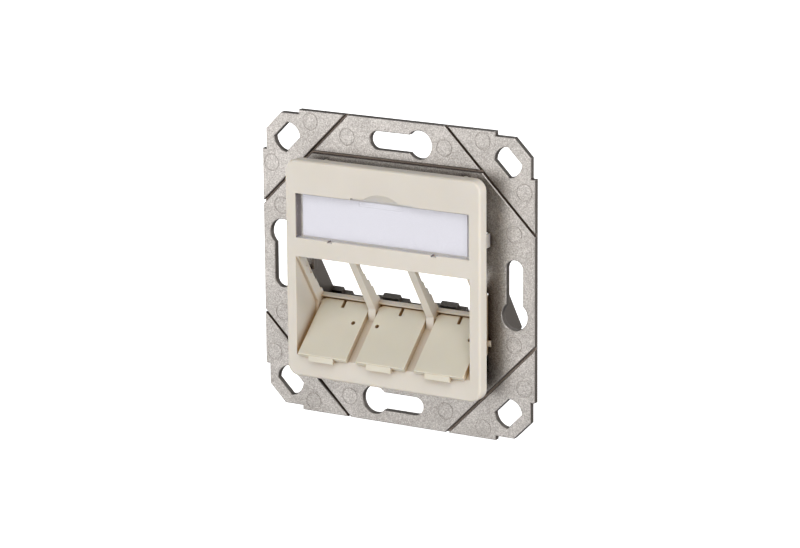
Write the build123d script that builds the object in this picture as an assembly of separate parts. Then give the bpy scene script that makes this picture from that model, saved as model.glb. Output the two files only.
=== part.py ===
"""Three-port angled data outlet insert: cast support frame, moulded centre plate, label, dust flaps.

X runs right, Y into the wall and Z up. The origin is the middle of the frame's back face, the
wall plane. All sizes are in millimetres.
"""
import os
from math import cos, radians, sin, sqrt

from build123d import *

os.makedirs("parts", exist_ok=True)

# The width of the plate drives the frame, the ports and the label
plate_size = 50.0

# Support frame, a zinc casting; its insets are measured from its edges and corners
frame_border = 10.0
frame_thick = 1.5
corner_step = 1.0
corner_step_inset = 9.8
corner_chamfer = 4.1
edge_break = 0.15
slot_inset = 5.0
slot_width = 4.1
slot_circle = 6.4
slot_circle_at = 6.0
slot_end_at = 4.6
corner_hole_inset = 9.3
corner_hole = 6.8
corner_hole_flats = 4.55
score_width = 0.55
score_lip = 0.18
score_depth = 1.0
score_inset = 15.74
score_from_plate = 0.65
mark_size = 4.0
mark_groove = 0.22
mark_depth = 0.06
mark_insets = (12.85, 2.45)
mark_beside_slot = 12.5

# Centre plate, a moulding
plate_reach = 6.55
plate_rim = 3.0
plate_wall = 1.6
plate_corner = 2.7
plate_edge = 0.6
label_inset = 0.1
label_height = 10.25
label_at = 12.28
label_depth = 1.6
label_floor = 1.0
label_end_slot = 0.85
label_edge = 0.2
nail_reach = 1.8
nail_radius = 7.7
nail_depth = 0.9
grip_clearance = 0.35

# Ports and dust flaps
port_margin = 2.6
rib_width = 1.9
side_rib = 0.7
port_top = 2.92
port_lean = 33.8
side_wall = 0.8
sill_height = 0.4
sill_thick = 1.1
sill_depth = 1.8
leg_length = 14.83
# Rear edge of each rib in steps down the port plane: where a step ends, and its depth
rib_teeth_from = 0.9
rib_teeth = ((4.6, 1.15), (7.2, 1.5), (9.6, 2.0), (13.2, 2.4))
flap_thick = 1.2
flap_reach = 14.5
flap_tail = 1.05
flap_edge = 0.2
flap_relief = (0.5, 0.4)
flap_side_gap = 0.3
flap_rest = 42.6
flap_over_ramp = 0.15
hinge_drop = 1.3
hinge_depth = 1.0
pin_size = 1.2
pin_grip = 0.65
pin_clearance = 0.06
hinge_room = 0.25
ramp_thick = 1.0
lip_half = 3.2
lip_at = -0.3
lip_drop = 1.5
lip_thick = 0.8
flap_notch = (0.8, 2.1)
flap_notch_at = -0.45
flap_hole = 1.0
flap_hole_from_pin = 4.6
flap_hole_outer = 3.95
flap_hole_center = -4.88

# Module cradle behind the ports, cast with the frame
cradle_depth = 8.5
cradle_end = 24.0
cheek_thick = 1.0
cheek_gap = 0.2
box_room = 0.1
floor_thick = 1.1
bar_thick = 1.4
bar_top = 20.85
lug_step = 19.7
lug_top = 18.7
lug_top_half = 2.15
lug_step_half = 4.2

# Snap fit between plate and frame
seat_gap = 0.02
post_size = 2.4
post_inset = (7.0, 1.9)
arm_at = 10.5
arm_width = 3.0
arm_thick = 0.8
arm_gap = 0.15
hook_grip = 0.45
hook_length = 0.9
hook_pocket = 0.6
barb_at = -10.3
barb_width = 3.0
barb_reach = 0.55
barb_span = (1.2, 2.3)
barb_play = 0.2
gusset_at = (-12.2, -13.7)
gusset_reach = 0.9
window_inset = (0.8, 3.5)

# Label strip and its clear cover
strip_thick = 0.2
strip_margin = 1.15
cover_play = 0.12
cover_lift = 0.05
cover_thick = 1.1
grip_half = 5.6
grip_height = 1.1
grip_rise = 0.35
grip_room = 2.3
cover_lug = (1.2, 0.25)
cover_lug_at = 13.35

wall = 0.0
frame_front = wall - frame_thick
plate_front = frame_front - plate_reach
rim_back = plate_front + plate_rim
plate_back = plate_front + plate_wall
half_plate = plate_size / 2
half_frame = half_plate + frame_border
frame_corner = sqrt(2) * half_frame
port_half = half_plate - port_margin
port_pitch = (2 * (port_half - side_rib) + rib_width) / 3
label_half = port_half - label_inset
down = (sin(radians(port_lean)), -cos(radians(port_lean)))
deep = (cos(radians(port_lean)), sin(radians(port_lean)))


def port(u, w):
    """Point of the side view: u runs down the sloping port plane, w is square to it, inwards."""
    return (plate_front + u * down[0] + w * deep[0], port_top + u * down[1] + w * deep[1])


sill_bottom = leg_length + 0.1
hinge = port(sill_bottom + hinge_drop - 0.1, hinge_depth)
along = (-cos(radians(flap_rest)), -sin(radians(flap_rest)))
upward = (-sin(radians(flap_rest)), cos(radians(flap_rest)))


def flap(s, n):
    """Point of the side view: s runs down the open flap from its pin, n is square to it, upwards."""
    return (hinge[0] + s * along[0] + n * upward[0], hinge[1] + s * along[1] + n * upward[1])


def prism(points, x0, x1):
    """Solid with a side-view outline, running from x0 to x1."""
    side = Plane.YZ.offset(min(x0, x1))
    return extrude(side * make_face(Polyline(*points, close=True)), amount=abs(x1 - x0))


def block(x, y, z):
    """Box between the given limits of each axis."""
    size = [max(limits) - min(limits) for limits in (x, y, z)]
    return Pos(*[sum(limits) / 2 for limits in (x, y, z)]) * Box(*size)


def rod(radius, x0, x1, center):
    """Round bar along X around a point of the side view."""
    return Pos((x0 + x1) / 2, *center) * Rot(0, 90, 0) * Cylinder(radius, abs(x1 - x0))


def quarters(shape):
    """The shape at all four sides, turned a quarter at a time about Y."""
    return [Rot(0, turn, 0) * shape for turn in (0, 90, 180, 270)]


def both_sides(shape):
    return [shape, mirror(shape, about=Plane.YZ)]


# Support frame
inset = half_frame - corner_step
step_at = half_frame - corner_step_inset
corner = [(step_at, half_frame), (step_at, inset), (inset - corner_chamfer, inset),
          (inset, inset - corner_chamfer), (inset, step_at), (half_frame, step_at)]
outline = []
for turn in range(4):
    outline += [[(x, z), (z, -x), (-x, -z), (-z, x)][turn] for x, z in corner]
frame = extrude(Plane.XZ * make_face(Polyline(*outline, close=True)), amount=frame_thick)

slot_z = half_frame - slot_inset
slot = Pos((slot_circle_at - slot_end_at) / 2, slot_z) * Rectangle(slot_circle_at + slot_end_at, slot_width)
slot += Pos(-slot_end_at, slot_z) * Circle(slot_width / 2)
slot += Pos(slot_circle_at, slot_z) * Circle(slot_circle / 2)
slot_cut = extrude(Plane.XZ * slot, amount=frame_thick)
hole = Circle(corner_hole / 2) & Rectangle(corner_hole, corner_hole_flats)
hole = Rot(0, 0, -45) * Pos(0, frame_corner - corner_hole_inset) * hole
hole_cut = extrude(Plane.XZ * hole, amount=frame_thick)
for cut in quarters(slot_cut) + quarters(hole_cut):
    frame -= cut
front_rim = frame.faces().sort_by(Axis.Y)[0].edges()
frame = chamfer(front_rim, edge_break)



def score(half_length, at):
    """Cutter for a straight groove with sloping lips in the frame's front, at a height above its middle."""
    half = score_width / 2
    lip_foot = frame_front + score_lip
    floor = frame_front + score_depth
    groove = prism([(frame_front, -half - score_lip), (frame_front, half + score_lip), (lip_foot, half),
                    (floor, half), (floor, -half), (lip_foot, -half)], -half_length, half_length)
    return Pos(0, 0, at) * groove


score_reach = frame_corner - score_inset
for cut in quarters(Rot(0, 45, 0) * score(frame_corner, score_reach)):
    frame -= cut
rail_at = half_plate + score_from_plate
for side in (1, -1):
    frame -= score(sqrt(2) * score_reach - rail_at, side * rail_at)

mark = Circle(mark_size / 2) - Circle(mark_size / 2 - mark_groove)
mark_cut = extrude(Plane.XZ.offset(frame_thick - mark_depth) * mark, amount=mark_depth)
corner_mark = (half_frame - mark_insets[0], half_frame - mark_insets[1])
marks = [corner_mark, corner_mark[::-1], (mark_beside_slot, slot_z), (-mark_beside_slot, slot_z)]
for x, z in marks:
    for cut in quarters(Pos(x, 0, z) * mark_cut):
        frame -= cut

cheek_in = port_half + side_wall + cheek_gap
cheek_out = cheek_in + cheek_thick
foot = frame_thick / 2


def on_wall(u=None, w=None):
    """Side-view point just inside the frame's back face, on the port line u or the port depth w."""
    if u is None:
        u = (wall - foot - plate_front - w * deep[0]) / down[0]
    else:
        w = (wall - foot - plate_front - u * down[0]) / deep[0]
    return port(u, w)


window_half = port_half - window_inset[0]
window_top = half_plate - window_inset[1]
window_low = on_wall(u=cradle_end - floor_thick)[1]
back_top = port(0, sill_depth + sill_thick)
box_top = back_top[1] + (frame_front - back_top[0]) * down[1] / down[0] + box_room
frame -= block((-window_half, window_half), (frame_front, wall), (window_low, window_top))
frame -= block((-cheek_in, cheek_in), (frame_front, wall), (window_low, box_top))

cheek = prism([on_wall(w=cradle_depth), port(cradle_end, cradle_depth), on_wall(u=cradle_end)],
              cheek_in, cheek_out)
barb_half = barb_width / 2 + barb_play
barb_slot = block((cheek_in, cheek_out), (barb_span[0] - barb_play, barb_span[1] + barb_play),
                  (barb_at - barb_half, barb_at + barb_half))
cradle_floor = prism([on_wall(u=cradle_end), on_wall(u=cradle_end - floor_thick),
                      port(cradle_end - floor_thick, cradle_depth), port(cradle_end, cradle_depth)],
                     -cheek_in, cheek_in)
bar_front = cradle_depth - bar_thick
bar = prism([port(bar_top, bar_front), port(bar_top, cradle_depth), port(cradle_end, cradle_depth),
             port(cradle_end, bar_front)], -cheek_in, cheek_in)


def lug(top, x0, x1):
    return prism([port(top, bar_front), port(top, cradle_depth), port(bar_top + 0.5, cradle_depth),
                  port(bar_top + 0.5, bar_front)], x0, x1)


rib_at = port_pitch / 2
side_at = port_pitch * 1.5
for x in (rib_at, -rib_at):
    bar += lug(lug_step, x - lug_step_half, x + lug_step_half)
    bar += lug(lug_top, x - lug_top_half, x + lug_top_half)
bar += both_sides(lug(lug_step, side_at - lug_step_half, cheek_in))
bar += both_sides(lug(lug_top, side_at - lug_top_half, cheek_in))
frame += both_sides(cheek - barb_slot) + [cradle_floor, bar]

arm_out = cheek_in + 0.5
arm_span = (arm_at - arm_width / 2, arm_at + arm_width / 2)
room_span = (arm_span[0] - arm_gap, arm_span[1] + arm_gap)
hook_shelf = wall - hook_pocket
arm_room = block((window_half - 0.1, arm_out + arm_gap), (frame_front, wall), room_span)
arm_room += block((window_half - 0.1, arm_out + hook_grip + arm_gap), (hook_shelf, wall), room_span)
for cut in both_sides(arm_room):
    frame -= cut

# Centre plate
slab = extrude(Plane.XZ.offset(-rim_back) * RectangleRounded(plate_size, plate_size, plate_corner),
               amount=plate_rim)
slab = fillet(slab.faces().sort_by(Axis.Y)[0].edges(), plate_edge)
hollow = plate_size - 2 * plate_wall
slab -= block((-hollow / 2, hollow / 2), (plate_back, rim_back), (-hollow / 2, hollow / 2))
label_low = label_at - label_height / 2
label_high = label_at + label_height / 2
label_base = plate_front + label_depth
plate = slab + block((-hollow / 2, hollow / 2), (plate_front + 1.0, label_base + label_floor),
                     (label_low - label_floor, label_high + label_floor))
recess_y = (plate_front - 1, label_base)
recess = block((-label_half, label_half), recess_y, (label_low, label_high))
recess += block((-grip_half - grip_room, grip_half + grip_room), recess_y,
                (label_high - 1, label_high + grip_clearance))
lug_half = cover_lug[0] / 2 + cover_play
for x in (cover_lug_at, -cover_lug_at):
    recess += block((x - lug_half, x + lug_half), recess_y,
                    (label_low - cover_lug[1] - cover_play, label_low + 1))
recess += both_sides(block((label_half - label_end_slot, label_half),
                           (label_base - 0.5, label_base + label_floor), (label_low, label_high)))
plate -= recess

nail_top = label_high + nail_reach
nail_disc = rod(nail_radius, -2, 2, (0, 0))
nail_disc = Pos(0, plate_front, nail_top - nail_radius) * Rot(0, 0, 90) * nail_disc
nail_ramp = prism([(plate_front - 1, nail_top + 0.01), (plate_front, nail_top),
                   (plate_front + nail_depth, label_high), (plate_front + nail_depth, label_high - 1),
                   (plate_front - 1, label_high - 1)], -nail_radius, nail_radius)
plate -= nail_disc & nail_ramp

# Port box behind the lower half of the plate
ramp_under = -(flap_thick / 2 + flap_over_ramp)
ramp_back = ramp_under - ramp_thick
ramp_run = (hinge[0] + ramp_under * upward[0] - plate_front) / -along[0]
port_bottom = flap(ramp_run, ramp_under)[1]
plate -= block((-port_half, port_half), (plate_front - 1, rim_back), (port_bottom, port_top))
plate -= prism([(plate_front - 1, port_bottom - 1.0), (plate_front, port_bottom),
                flap(ramp_run - 3, ramp_under), (plate_front + 2, port_top), (plate_front - 1, port_top)],
               -port_half, port_half)

room = sqrt(flap_tail ** 2 + (flap_thick / 2) ** 2) + hinge_room
box_back = hinge[0] + room + 1.0
frame_face = sill_depth + sill_thick
trough_top = (box_back, port(sill_bottom, frame_face)[1] - 1.0)
trough_low = (box_back, flap(0, ramp_back)[1] + 0.4)
ramp_end = flap(-0.6, ramp_back)
ramp_foot = (plate_front + 0.6, port_bottom - 1.3)
tray = prism([(plate_front + 0.02, port_bottom - 0.02), flap(0, ramp_under), port(sill_bottom, sill_depth),
              port(sill_bottom - sill_height, sill_depth), port(sill_bottom - sill_height, frame_face),
              port(sill_bottom, frame_face), trough_top, trough_low, ramp_end, ramp_foot],
             -port_half, port_half)
tray -= rod(room, -port_half, port_half, hinge)

vertex = port(leg_length, 0)
vertex_foot = (vertex[0], flap(0, ramp_under)[1] - (hinge[0] - vertex[0]) * along[1] / along[0] - 0.9)
rib_rear = []
step_start = rib_teeth_from
for step_end, depth in rib_teeth:
    rib_rear = [(step_end, depth), (step_start, depth)] + rib_rear
    step_start = step_end
rib_rear = [(step_start, frame_face)] + rib_rear
rib_side = [(plate_front + 0.05, port_top - 0.05), vertex, vertex_foot, ramp_end, trough_low, trough_top,
            port(sill_bottom, frame_face)]
rib_side += [port(u, w) for u, w in rib_rear]
rib_side += [(plate_back - 0.1, port_top + 0.7), (plate_front + 0.3, port_top + 0.7)]
ribs = [prism(rib_side, x - rib_width / 2, x + rib_width / 2) for x in (rib_at, -rib_at)]
ribs += both_sides(prism(rib_side, side_at - rib_width / 2, port_half))

wall_side = [(plate_front + 0.6, port_top + 1.6), (rim_back - 0.2, port_top + 1.6), port(1.5, frame_face),
             port(sill_bottom, frame_face), trough_top, trough_low, ramp_end, ramp_foot]
walls = both_sides(prism(wall_side, port_half, port_half + side_wall))
box = tray + ribs + walls
bore = rod(pin_size / 2 + pin_clearance, -port_half - 0.3, port_half + 0.3, hinge)
plate = plate + box - bore

# Snap arms, barbs and posts that hold the plate on the frame
arm = block((arm_out - arm_thick, arm_out), (plate_back - 0.1, hook_length), arm_span)


def wedge(x, reach, y_flat, y_tip, low, height):
    """Catch standing out of a wall at x: flat towards the front and sloping away to y_tip."""
    profile = Polyline((x - 0.1, y_flat), (x + reach, y_flat), (x, y_tip), (x - 0.1, y_tip), close=True)
    return extrude(Plane.XY.offset(low) * make_face(profile), amount=height)


box_side = port_half + side_wall
hook = wedge(arm_out, hook_grip, hook_shelf + seat_gap, hook_length, arm_span[0], arm_width)
barb = wedge(box_side, barb_reach, *barb_span, barb_at - barb_width / 2, barb_width)
gusset_foot = frame_front - seat_gap
gusset = prism([(gusset_foot - gusset_reach, gusset_at[0]), (gusset_foot, gusset_at[0]),
                (gusset_foot, gusset_at[1])], box_side - 0.1, box_side + cheek_thick)
plate += both_sides(arm) + both_sides(hook) + both_sides(barb) + both_sides(gusset)
post_length = frame_front - seat_gap - plate_back + 0.1
post_x = half_plate - post_inset[0]
post_z = half_plate - post_inset[1]
for x in (post_x, -post_x):
    for z in (post_z, -post_z):
        center = frame_front - seat_gap - post_length / 2
        plate += Pos(x, center, z) * Rot(90, 0, 0) * Cylinder(post_size / 2, post_length)

# Label strip and its clear cover
strip_front = label_base - seat_gap - strip_thick
strip_half = label_half - strip_margin
strip = block((-strip_half, strip_half), (strip_front, label_base - seat_gap),
              (label_low + 0.45, label_high - 0.45))
cover_back = strip_front - cover_lift
cover_front = cover_back - cover_thick
cover_half = label_half - cover_play
cover = block((-cover_half, cover_half), (cover_front, cover_back),
              (label_low + cover_play, label_high - cover_play))
cover = fillet(cover.faces().sort_by(Axis.Y)[0].edges(), label_edge)
cover += block((-grip_half, grip_half), (cover_front - grip_rise, cover_back),
               (label_high - cover_play - grip_height, label_high - cover_play))
for x in (cover_lug_at, -cover_lug_at):
    cover += block((x - cover_lug[0] / 2, x + cover_lug[0] / 2), (cover_front + 0.3, cover_back),
                   (label_low - cover_lug[1], label_low + 0.5))

# Dust flaps, lying open on the ramp
flap_half = (port_pitch - rib_width) / 2 - flap_side_gap


def dust_flap(center, hole_x):
    half_thick = flap_thick / 2
    leaf = prism([flap(-flap_tail, -half_thick), flap(-flap_tail, half_thick), flap(flap_reach, half_thick),
                  flap(flap_reach, -half_thick)], -flap_half, flap_half)
    leaf = fillet(leaf.edges().filter_by(Axis.X), flap_edge)
    front = flap(flap_reach, half_thick)
    under = flap(flap_reach, -half_thick)
    lip = prism([flap(flap_reach - 1.0, half_thick - 0.3), (front[0], front[1] - 0.2),
                 (front[0], front[1] - lip_drop), (front[0] + lip_thick, front[1] - lip_drop),
                 (front[0] + lip_thick, under[1]), flap(flap_reach - 1.0, -half_thick + 0.1)],
                lip_at - lip_half, lip_at + lip_half)
    leaf += lip
    tilt = Rot(flap_rest, 0, 0)
    leaf -= Pos(hole_x, *flap(flap_hole_from_pin, 0)) * tilt * Cylinder(flap_hole / 2, 2 * flap_thick)
    notch = Box(flap_notch[0], 2 * flap_notch[1], 2 * flap_thick)
    relief = Box(2 * flap_relief[0], 2 * flap_relief[1], 2 * flap_thick)
    for x, cut in ((flap_notch_at, notch), (flap_half, relief), (-flap_half, relief)):
        leaf -= Pos(x, *flap(-flap_tail, 0)) * tilt * cut
    pin = rod(pin_size / 2, flap_half - 0.5, flap_half + flap_side_gap + pin_grip, hinge)
    return Pos(center, 0, 0) * (leaf + both_sides(pin))


nodes = {
    "support_frame": frame,
    "center_plate": plate,
    "label_strip": strip,
    "label_cover": cover,
    "dust_flap_left": dust_flap(-port_pitch, flap_hole_outer),
    "dust_flap_center": dust_flap(0.0, flap_hole_center),
    "dust_flap_right": dust_flap(port_pitch, flap_hole_outer),
}
for name, shape in nodes.items():
    export_step(shape, f"parts/{name}.step")
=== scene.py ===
from math import cos, radians, sin

import bmesh
import bpy
from mathutils import Matrix, Vector


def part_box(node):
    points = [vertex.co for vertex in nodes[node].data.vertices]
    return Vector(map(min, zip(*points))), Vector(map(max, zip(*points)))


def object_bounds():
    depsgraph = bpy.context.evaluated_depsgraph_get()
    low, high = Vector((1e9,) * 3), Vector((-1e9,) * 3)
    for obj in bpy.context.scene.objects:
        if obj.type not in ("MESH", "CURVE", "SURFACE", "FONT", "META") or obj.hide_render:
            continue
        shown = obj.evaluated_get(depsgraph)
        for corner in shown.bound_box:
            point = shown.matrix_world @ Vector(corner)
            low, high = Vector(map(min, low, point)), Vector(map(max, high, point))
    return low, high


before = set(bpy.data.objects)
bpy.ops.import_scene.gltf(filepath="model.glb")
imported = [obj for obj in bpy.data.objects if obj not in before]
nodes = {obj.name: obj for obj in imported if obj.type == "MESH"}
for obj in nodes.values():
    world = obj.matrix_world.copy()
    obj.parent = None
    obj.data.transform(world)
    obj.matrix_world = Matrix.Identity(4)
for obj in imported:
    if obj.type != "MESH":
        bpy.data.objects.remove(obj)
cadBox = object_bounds()
millimetre = 0.001
print("frame loaded:", len(nodes), "nodes")


# sRGB hex to linear RGBA
def hexToLinear(code):
    channels = [int(code[i:i + 2], 16) / 255 for i in (1, 3, 5)]
    return [c / 12.92 if c <= 0.04045 else ((c + 0.055) / 1.055) ** 2.4 for c in channels] + [1.0]


def addNode(tree, kind, settings=None, links=None):
    node = tree.nodes.new(kind)
    for name, value in (settings or {}).items():
        if isinstance(name, str) and hasattr(node, name):
            setattr(node, name, value)
        else:
            node.inputs[name].default_value = value
    for name, source in (links or {}).items():
        tree.links.new(source, node.inputs[name])
    return node


def newMaterial(name):
    material = bpy.data.materials.new(name)
    material.use_nodes = True
    tree = material.node_tree
    tree.nodes.clear()
    place = addNode(tree, "ShaderNodeTexCoord").outputs["Object"]
    return material, tree, place


def finishMaterial(tree, shader):
    addNode(tree, "ShaderNodeOutputMaterial", links={"Surface": shader.outputs["BSDF"]})


def setRamp(node, positions, codes):
    ramp = node.color_ramp
    while len(ramp.elements) < len(positions):
        ramp.elements.new(0.5)
    for element, position, code in zip(ramp.elements, positions, codes):
        element.position = position
        element.color = hexToLinear(code)


# A color with tints laid on it in turn, each where its share falls from 1 to 0. A color or tint
# is a hex code or an output.
def layTints(tree, color, layers):
    for share, tint in layers:
        settings, links = {"data_type": "RGBA"}, {0: share}
        for socket, part in ((6, tint), (7, color)):  # the two sockets that mix as colors
            if isinstance(part, str):
                settings[socket] = hexToLinear(part)
            else:
                links[socket] = part
        color = addNode(tree, "ShaderNodeMix", settings, links).outputs[2]
    return color


# How finely nearby walls and rounded edges are read, and how far a normal turns where the painted
# edge highlight starts and where it is brightest
surfaceReading = {"opennessSamples": 8, "bevelSamples": 4, "flatMatch": 0.98, "brightestMatch": 0.85}


# How open a place is: 0 where walls within reach shut it in, 1 on an open face.
# The span holds the two open shares that count as 0 and as 1.
def openness(tree, reach, span, ownWalls=False):
    near = addNode(tree, "ShaderNodeAmbientOcclusion",
                   {"samples": surfaceReading["opennessSamples"], "only_local": ownWalls,
                    "Distance": reach})
    return addNode(tree, "ShaderNodeMapRange", {"From Min": span[0], "From Max": span[1]},
                   {"Value": near.outputs["AO"]}).outputs["Result"]


# How squarely a face looks along an axis, either way: 1 straight along it, 0 across it
def facingShare(tree, axis):
    flat = addNode(tree, "ShaderNodeNewGeometry").outputs["Normal"]
    along = addNode(tree, "ShaderNodeSeparateXYZ", links={"Vector": flat}).outputs[axis]
    return addNode(tree, "ShaderNodeMath", {"operation": "ABSOLUTE"}, {0: along}).outputs[0]


# The normal with rounded edges, and that normal with the grain's relief on it
def roundedRelief(tree, s, height):
    bevel = addNode(tree, "ShaderNodeBevel",
                    {"samples": surfaceReading["bevelSamples"], "Radius": s["edgeRadius"]})
    rounded = bevel.outputs["Normal"]
    relief = addNode(tree, "ShaderNodeBump",
                     {"Strength": s["grainStrength"], "Distance": s["grainHeight"]},
                     {"Height": height, "Normal": rounded})
    return rounded, relief.outputs["Normal"]


# How much of the face colour is left: 1 on a face, less along an edge by the share given to the
# painted highlight, which is where the rounded normal leaves the flat one
def unhighlightedShare(tree, rounded, brightening):
    flat = addNode(tree, "ShaderNodeNewGeometry").outputs["Normal"]
    match = addNode(tree, "ShaderNodeVectorMath", {"operation": "DOT_PRODUCT"},
                    {0: rounded, 1: flat})
    return addNode(tree, "ShaderNodeMapRange",
                   {"From Min": surfaceReading["flatMatch"],
                    "From Max": surfaceReading["brightestMatch"], "To Min": 1.0, "To Max": 1 - brightening},
                   {"Value": match.outputs["Value"]}).outputs["Result"]


# Zinc die casting, left as it came from the die: matt grey with bright and dark grain and soft
# flow marks. Side walls are painted darker as shade and edges painted bright as a highlight. The
# grooves are painted brown as shade and drawn as no metal, and wherever nearby walls shut the
# casting in, most close behind the plate, it is painted dark brown as shade. The real grain is
# about 0.1 mm, so it is drawn coarser to show.
castZinc = {
    "dark": "#8f8a86", "mid": "#ada8a3", "light": "#d1ccc8", "toneStops": (0.42, 0.6, 0.8),
    "grainSize": 0.28 * millimetre, "grainDetail": 3.0, "grainRoughness": 0.65,
    "grainHeight": 0.05 * millimetre, "grainStrength": 0.5,
    "flowSize": 9 * millimetre, "flowDetail": 2.0, "flowShare": 0.2,
    # Side walls get a darker painted shade; edges get a brighter painted highlight
    "wall": "#7b746e", "edge": "#e4e0dd", "edgeWear": 0.35, "edgeRadius": 0.12 * millimetre,
    # Painted shade: dark brown where nearby walls shut the casting in, most close behind the plate
    "shaded": "#2c1c10", "shadedReach": 6 * millimetre, "shadedSpan": (0.38, 0.76),
    # Painted shade in the grooves: a lighter brown floor, darker brown walls, drawn as no metal
    "grooveFloorShade": "#b9a698", "grooveWallShade": "#5c4f46",
    "grooveReach": 0.9 * millimetre, "grooveSpan": (0.25, 0.8),
    "metallic": 1.0, "roughness": 0.45,
}


def zincCasting():
    s = castZinc
    material, tree, place = newMaterial("zincDieCasting")
    grain = addNode(tree, "ShaderNodeTexNoise",
                    {"Scale": 1 / s["grainSize"], "Detail": s["grainDetail"],
                     "Roughness": s["grainRoughness"]},
                    {"Vector": place}).outputs["Fac"]
    flow = addNode(tree, "ShaderNodeTexNoise",
                   {"Scale": 1 / s["flowSize"], "Detail": s["flowDetail"]},
                   {"Vector": place}).outputs["Fac"]
    pattern = addNode(tree, "ShaderNodeMath", {"operation": "MULTIPLY_ADD", 1: s["flowShare"]},
                      {0: flow, 2: grain})
    tone = addNode(tree, "ShaderNodeValToRGB", links={"Fac": pattern.outputs[0]})
    setRamp(tone, s["toneStops"], (s["dark"], s["mid"], s["light"]))
    rounded, relief = roundedRelief(tree, s, grain)
    # Painted shade: faces turned sideways take the darker wall colour
    facing = facingShare(tree, "Y")
    # Painted highlight: edges turn brighter where the rounded normal leaves the flat one
    unhighlighted = unhighlightedShare(tree, rounded, s["edgeWear"])
    # Painted shade: brown where nearby walls shut the casting in
    lit = openness(tree, s["shadedReach"], s["shadedSpan"])
    # Painted shade in the grooves: brown, the walls darker than the floor, and no metal there
    outOfGroove = openness(tree, s["grooveReach"], s["grooveSpan"], True)
    grooveShade = layTints(tree, s["grooveFloorShade"], [(facing, s["grooveWallShade"])])
    layers = [(facing, s["wall"]), (unhighlighted, s["edge"]), (lit, s["shaded"]), (outOfGroove, grooveShade)]
    tinted = layTints(tree, tone.outputs["Color"], layers)
    metal = addNode(tree, "ShaderNodeMapRange", {"To Max": s["metallic"]}, {"Value": outOfGroove})
    shader = addNode(tree, "ShaderNodeBsdfPrincipled", {"Roughness": s["roughness"]},
                     {"Base Color": tinted, "Metallic": metal.outputs["Result"],
                      "Normal": relief})
    finishMaterial(tree, shader)
    return material


# ABS moulding in warm white, satin from a lightly eroded mould: almost even colour, soft edge
# highlights, a faint glow from within and a painted warm shade where walls shut it in. The mould's
# texture is finer than the render shows, so it is drawn coarser.
mouldedAbs = {
    "IOR": 1.53, "edgeRadius": 0.14 * millimetre,
    "cloudSize": 14 * millimetre, "cloudDetail": 2.0, "toneStops": (0.3, 0.7),
    "grainSize": 0.35 * millimetre, "grainDetail": 2.0,
    "grainHeight": 0.008 * millimetre, "grainStrength": 0.4,
    "smoother": 0.05, "rougher": 0.07,
    "glow": 0.5, "glowDepth": 0.9 * millimetre, "glowSpread": (1.0, 0.8, 0.5),
    # Painted shade: warm brown where nearby walls shut the plastic in
    "recess": "#b08c58", "recessReach": 3 * millimetre, "recessSpan": (0.1, 0.9),
    # Painted shade in the label's well: grey end walls, lighter other faces, from just below the
    # cover up
    "wellEndShade": "#7d7274", "wellFloorShade": "#d6d2ce", "wellBelowCover": 0.4 * millimetre,
}
plateAbs = {"name": "satinAbs", "dark": "#d0c9be", "light": "#d5cec3", "roughness": 0.36}
# The flaps are the same plastic, painted a touch lighter and yellower to make up for how light
# falls on them
flapAbsLitCopy = {"name": "satinAbsFlapLitCopy", "dark": "#d1cbbb", "light": "#d7d1c1", "roughness": 0.34}


# Painted shade in the label's well under the clear cover: grey end walls, lighter other faces
def wellShadeTint(tree, place, s):
    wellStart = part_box("label_cover")[0].z - s["wellBelowCover"]
    height = addNode(tree, "ShaderNodeSeparateXYZ", links={"Vector": place}).outputs["Z"]
    inWell = addNode(tree, "ShaderNodeMath", {"operation": "GREATER_THAN", 1: wellStart},
                     {0: height})
    # Painted shade: grey on the well's end walls, lighter on its other faces
    walls = layTints(tree, s["wellEndShade"], [(facingShare(tree, "X"), s["wellFloorShade"])])
    return layTints(tree, walls, [(inWell.outputs[0], s["recess"])])


def absMoulding(piece, hasWell):
    s = mouldedAbs
    material, tree, place = newMaterial(piece["name"])
    cloud = addNode(tree, "ShaderNodeTexNoise",
                    {"Scale": 1 / s["cloudSize"], "Detail": s["cloudDetail"]},
                    {"Vector": place})
    tone = addNode(tree, "ShaderNodeValToRGB", links={"Fac": cloud.outputs["Fac"]})
    setRamp(tone, s["toneStops"], (piece["dark"], piece["light"]))
    recess = wellShadeTint(tree, place, s) if hasWell else s["recess"]
    # Painted shade: warm brown where walls shut the plastic in, in the label's well its own
    # painted shade
    lit = openness(tree, s["recessReach"], s["recessSpan"])
    tinted = layTints(tree, tone.outputs["Color"], [(lit, recess)])
    grain = addNode(tree, "ShaderNodeTexNoise",
                    {"Scale": 1 / s["grainSize"], "Detail": s["grainDetail"]},
                    {"Vector": place}).outputs["Fac"]
    gloss = addNode(tree, "ShaderNodeMapRange",
                    {"To Min": piece["roughness"] - s["smoother"],
                     "To Max": piece["roughness"] + s["rougher"]},
                    {"Value": grain})
    _, relief = roundedRelief(tree, s, grain)
    shader = addNode(tree, "ShaderNodeBsdfPrincipled",
                     {"IOR": s["IOR"], "Subsurface Weight": s["glow"],
                      "Subsurface Radius": s["glowSpread"], "Subsurface Scale": s["glowDepth"]},
                     {"Base Color": tinted, "Roughness": gloss.outputs["Result"],
                      "Normal": relief})
    finishMaterial(tree, shader)
    return material


# Uncoated label paper, cool white and matt, with faint fibres that lie level. Real fibres are
# about 0.03 mm across, so they are drawn coarser to show.
labelPaper = {
    "dark": "#dfdee6", "light": "#e9e8f0", "toneStops": (0.3, 0.7),
    "fibreSize": 0.4 * millimetre, "fibreDetail": 4.0, "fibreStretch": (1.0, 1.0, 3.0),
    "fibreHeight": 0.01 * millimetre, "fibreStrength": 0.2,
    "roughness": 0.75, "IOR": 1.5,
}


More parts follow.
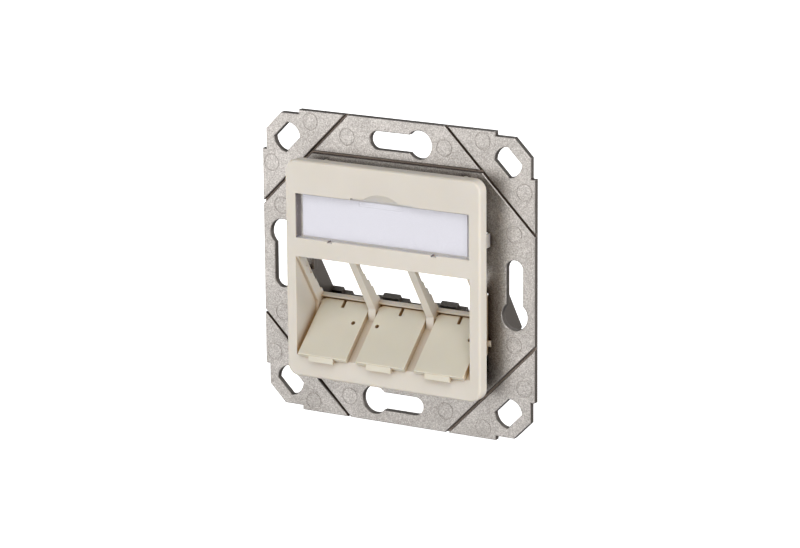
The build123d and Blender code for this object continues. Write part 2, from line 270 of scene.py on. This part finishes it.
def uncoatedPaper():
    s = labelPaper
    material, tree, place = newMaterial("uncoatedPaper")
    stretched = addNode(tree, "ShaderNodeMapping", {"Scale": s["fibreStretch"]},
                        {"Vector": place})
    fibre = addNode(tree, "ShaderNodeTexNoise",
                    {"Scale": 1 / s["fibreSize"], "Detail": s["fibreDetail"]},
                    {"Vector": stretched.outputs["Vector"]}).outputs["Fac"]
    tone = addNode(tree, "ShaderNodeValToRGB", links={"Fac": fibre})
    setRamp(tone, s["toneStops"], (s["dark"], s["light"]))
    relief = addNode(tree, "ShaderNodeBump",
                     {"Strength": s["fibreStrength"], "Distance": s["fibreHeight"]},
                     {"Height": fibre})
    shader = addNode(tree, "ShaderNodeBsdfPrincipled",
                     {"Roughness": s["roughness"], "IOR": s["IOR"]},
                     {"Base Color": tone.outputs["Color"], "Normal": relief.outputs["Normal"]})
    finishMaterial(tree, shader)
    return material


# Clear polycarbonate, polished and lightly scuffed: seen through from the front, grey and denser
# at its edges
clearCover = {
    "tint": "#b5b3b7", "faceAlpha": 0.02, "edgeAlpha": 0.42, "edgeBlend": 0.12,
    "scuffSize": 2.5 * millimetre, "scuffDetail": 4.0,
    "polished": 0.06, "scuffed": 0.14, "IOR": 1.585,
}


def clearPolycarbonate():
    s = clearCover
    material, tree, place = newMaterial("clearPolycarbonate")
    scuffs = addNode(tree, "ShaderNodeTexNoise",
                     {"Scale": 1 / s["scuffSize"], "Detail": s["scuffDetail"]},
                     {"Vector": place})
    gloss = addNode(tree, "ShaderNodeMapRange", {"To Min": s["polished"], "To Max": s["scuffed"]},
                    {"Value": scuffs.outputs["Fac"]})
    aslant = addNode(tree, "ShaderNodeLayerWeight", {"Blend": s["edgeBlend"]})
    alpha = addNode(tree, "ShaderNodeMapRange",
                    {"To Min": s["faceAlpha"], "To Max": s["edgeAlpha"]},
                    {"Value": aslant.outputs["Facing"]})
    shader = addNode(tree, "ShaderNodeBsdfPrincipled",
                     {"Base Color": hexToLinear(s["tint"]), "IOR": s["IOR"]},
                     {"Roughness": gloss.outputs["Result"], "Alpha": alpha.outputs["Result"]})
    finishMaterial(tree, shader)
    return material


def dress(node, material):
    nodes[node].data.materials.clear()
    nodes[node].data.materials.append(material)


plateMaterial = absMoulding(plateAbs, True)
flapMaterial = absMoulding(flapAbsLitCopy, False)
dress("support_frame", zincCasting())
dress("center_plate", plateMaterial)
dress("label_strip", uncoatedPaper())
dress("label_cover", clearPolycarbonate())
for side in ("left", "center", "right"):
    dress("dust_flap_" + side, flapMaterial)
print("materials on all nodes")


# Towards a place round the object, in degrees: 0 in front, 90 on the right, 180 behind
def towards(azimuth, elevation):
    a, e = radians(azimuth), radians(elevation)
    return Vector((sin(a) * cos(e), -cos(a) * cos(e), sin(e)))


# Camera at the photograph's viewing angle, in degrees and metres
cameraView = {
    "azimuth": 30.70, "elevation": 14.11, "roll": -0.45, "distance": 0.7909,
    "focalPixels": 3547.8, "imageWidth": 800, "sensor": 36.0,
    "target": (0.00091, -0.0015, 0.00012),
}


def placeCamera():
    s = cameraView
    back = towards(s["azimuth"], s["elevation"])
    level = towards(s["azimuth"] + 90, 0)
    upright = back.cross(level)
    roll = radians(s["roll"])
    right = cos(roll) * level + sin(roll) * upright
    up = cos(roll) * upright - sin(roll) * level
    data = bpy.data.cameras.new("camera")
    data.sensor_width = s["sensor"]
    data.lens = s["focalPixels"] * s["sensor"] / s["imageWidth"]
    camera = bpy.data.objects.new("camera", data)
    camera.matrix_world = Matrix((right, up, back)).transposed().to_4x4()
    camera.location = Vector(s["target"]) + back * s["distance"]
    bpy.context.scene.collection.objects.link(camera)
    bpy.context.scene.camera = camera


placeCamera()

# Soft round lamps all about, in degrees, metres and watts. The key light is low on the left,
# because the casting turns dark under a high one.
lamps = {
    "keyLight": {"azimuth": -33, "elevation": 3, "distance": 0.6, "size": 0.5, "power": 1.54},
    "fillLight": {"azimuth": 30, "elevation": 46, "distance": 0.8, "size": 0.5, "power": 3.26},
    "bounceLight": {"azimuth": -15, "elevation": -45, "distance": 0.7, "size": 0.5, "power": 1.14},
    "sideLight": {"azimuth": 97, "elevation": 4, "distance": 0.7, "size": 0.4, "power": 3.2},
    "rightLight": {"azimuth": 48, "elevation": -14, "distance": 0.7, "size": 0.5, "power": 1.32},
    "leftLight": {"azimuth": -108, "elevation": 4, "distance": 0.7, "size": 0.5, "power": 2.2},
    "backLight": {"azimuth": 184, "elevation": 2, "distance": 0.7, "size": 0.6, "power": 1.8},
}


def addSoftLight(name, s):
    back = towards(s["azimuth"], s["elevation"])
    data = bpy.data.lights.new(name, "AREA")
    data.shape = "DISK"
    data.size = s["size"]
    data.energy = s["power"]
    light = bpy.data.objects.new(name, data)
    light.matrix_world = back.to_track_quat("Z", "Y").to_matrix().to_4x4()
    light.location = back * s["distance"]
    bpy.context.scene.collection.objects.link(light)


# The room is dim as a light and white as a backdrop
room = {"light": 0.17, "white": 1.1}


def addRoom():
    world = bpy.data.worlds.new("whiteRoom")
    world.use_nodes = True
    tree = world.node_tree
    tree.nodes.clear()
    path = addNode(tree, "ShaderNodeLightPath")
    strength = addNode(tree, "ShaderNodeMapRange",
                       {"To Min": room["light"], "To Max": room["white"]},
                       {"Value": path.outputs["Is Camera Ray"]})
    walls = addNode(tree, "ShaderNodeBackground", {"Color": (1, 1, 1, 1)},
                    {"Strength": strength.outputs["Result"]})
    addNode(tree, "ShaderNodeOutputWorld", links={"Surface": walls.outputs["Background"]})
    bpy.context.scene.world = world


# Light table of opal acrylic, lit from within so that it stays white
lightTable = {"below": 0.006, "size": 3.0, "color": "#f4f4f4", "roughness": 0.9, "glow": 1.0}


def addFloor():
    s = lightTable
    level = cadBox[0].z - s["below"]
    shape = bmesh.new()
    bmesh.ops.create_grid(shape, x_segments=1, y_segments=1, size=s["size"] / 2)
    bmesh.ops.translate(shape, verts=shape.verts, vec=(0, 0, level))
    mesh = bpy.data.meshes.new("lightTable")
    shape.to_mesh(mesh)
    shape.free()
    floor = bpy.data.objects.new("lightTable", mesh)
    bpy.context.scene.collection.objects.link(floor)
    material, tree, _ = newMaterial("opalAcrylic")
    shader = addNode(tree, "ShaderNodeBsdfPrincipled",
                     {"Base Color": hexToLinear(s["color"]), "Roughness": s["roughness"],
                      "Emission Color": (1, 1, 1, 1), "Emission Strength": s["glow"]})
    finishMaterial(tree, shader)
    mesh.materials.append(material)
    # Only the camera sees it, so it throws no light and no shadow on the part
    floor.visible_diffuse = floor.visible_glossy = floor.visible_shadow = False


for name, facts in lamps.items():
    addSoftLight(name, facts)
addRoom()
addFloor()
bpy.context.scene.view_settings.view_transform = "Standard"  # plain product-photo tones
print("camera and studio placed")
